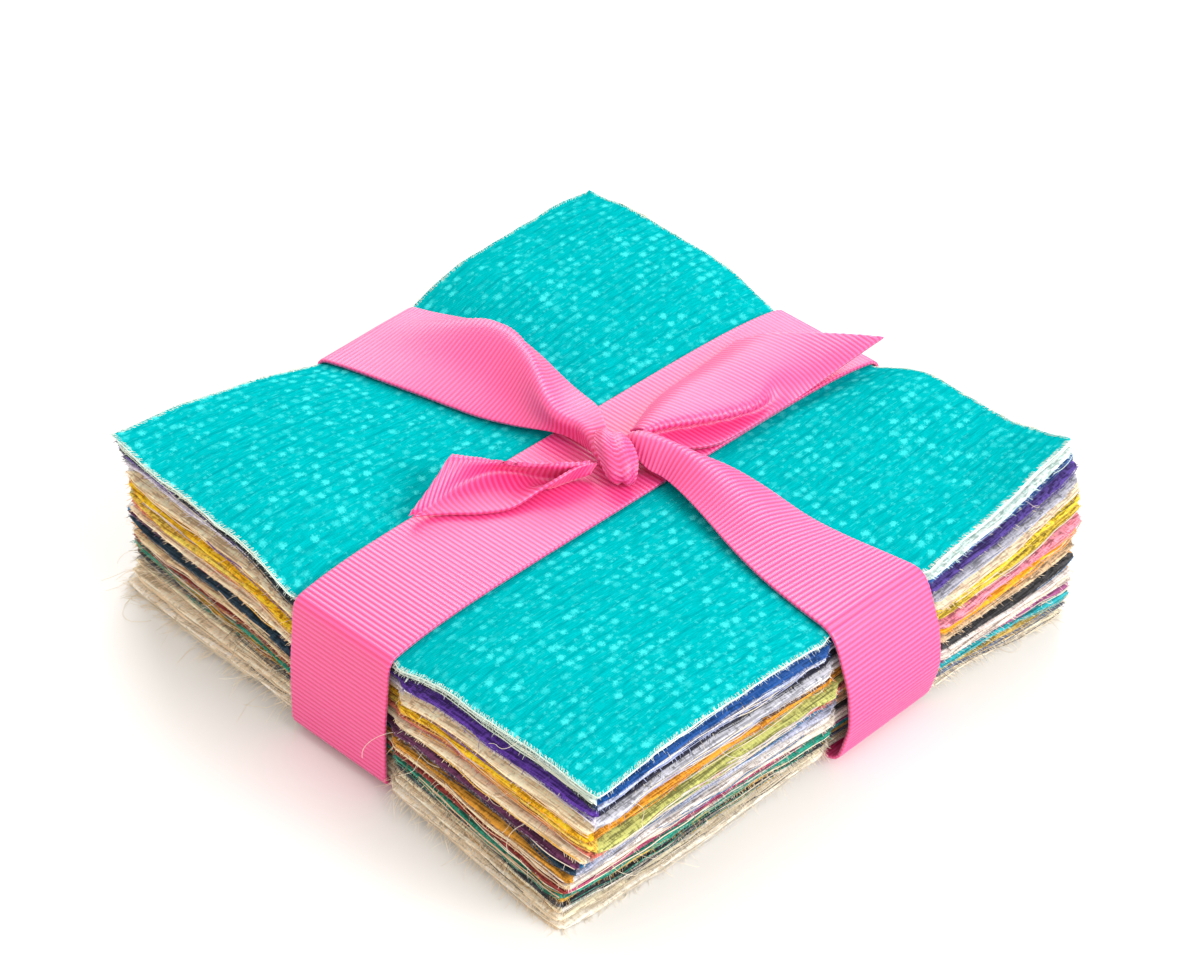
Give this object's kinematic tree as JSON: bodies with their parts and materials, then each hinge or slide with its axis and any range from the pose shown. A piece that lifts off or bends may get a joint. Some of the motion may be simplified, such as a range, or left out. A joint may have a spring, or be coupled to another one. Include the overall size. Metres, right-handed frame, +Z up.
{
  "type": "charm pack",
  "caption": "Stack of equal cut cotton squares, slightly fanned, tied both ways with one flat ribbon knotted over the top.",
  "frame": {"origin": "On the surface that the pack rests on, below the middle of the top square; the ribbon's crossing rests there.", "axes": "+Z is up. X and Y run along the top square's edges; the knot's near tail points toward -Y."},
  "size_m": [0.1364, 0.1357, 0.0411],
  "materials": {
    "ribbon": "pink ribbed grosgrain",
    "square_01": "printed cotton, turquoise",
    "square_02": "plain woven cotton, pale mint",
    "square_03": "plain woven cotton, royal blue",
    "square_04": "plain woven cotton, purple",
    "square_05": "plain woven cotton, grey",
    "square_06": "plain woven cotton, tan",
    "square_07": "plain woven cotton, golden yellow",
    "square_08": "plain woven cotton, yellow-green",
    "square_09": "plain woven cotton, dusty red",
    "square_10": "plain woven cotton, cream",
    "square_11": "plain woven cotton, plum",
    "square_12": "plain woven cotton, dark teal",
    "square_13": "plain woven cotton, mustard",
    "square_14": "plain woven cotton, pale tan",
    "square_15": "plain woven cotton, brick red",
    "square_16": "plain woven cotton, teal green",
    "square_17": "plain woven cotton, olive",
    "square_18": "plain woven cotton, charcoal",
    "square_19": "plain woven cotton, grey",
    "square_20": "plain woven cotton, tan",
    "square_21": "plain woven cotton, cream"
  },
  "bodies": {
    "root": {"ribbon": "ribbon", "square_01": "square_01", "square_02": "square_02", "square_03": "square_03", "square_04": "square_04", "square_05": "square_05", "square_06": "square_06", "square_07": "square_07", "square_08": "square_08", "square_09": "square_09", "square_10": "square_10", "square_11": "square_11", "square_12": "square_12", "square_13": "square_13", "square_14": "square_14", "square_15": "square_15", "square_16": "square_16", "square_17": "square_17", "square_18": "square_18", "square_19": "square_19", "square_20": "square_20", "square_21": "square_21"}
  },
  "joints": []
}
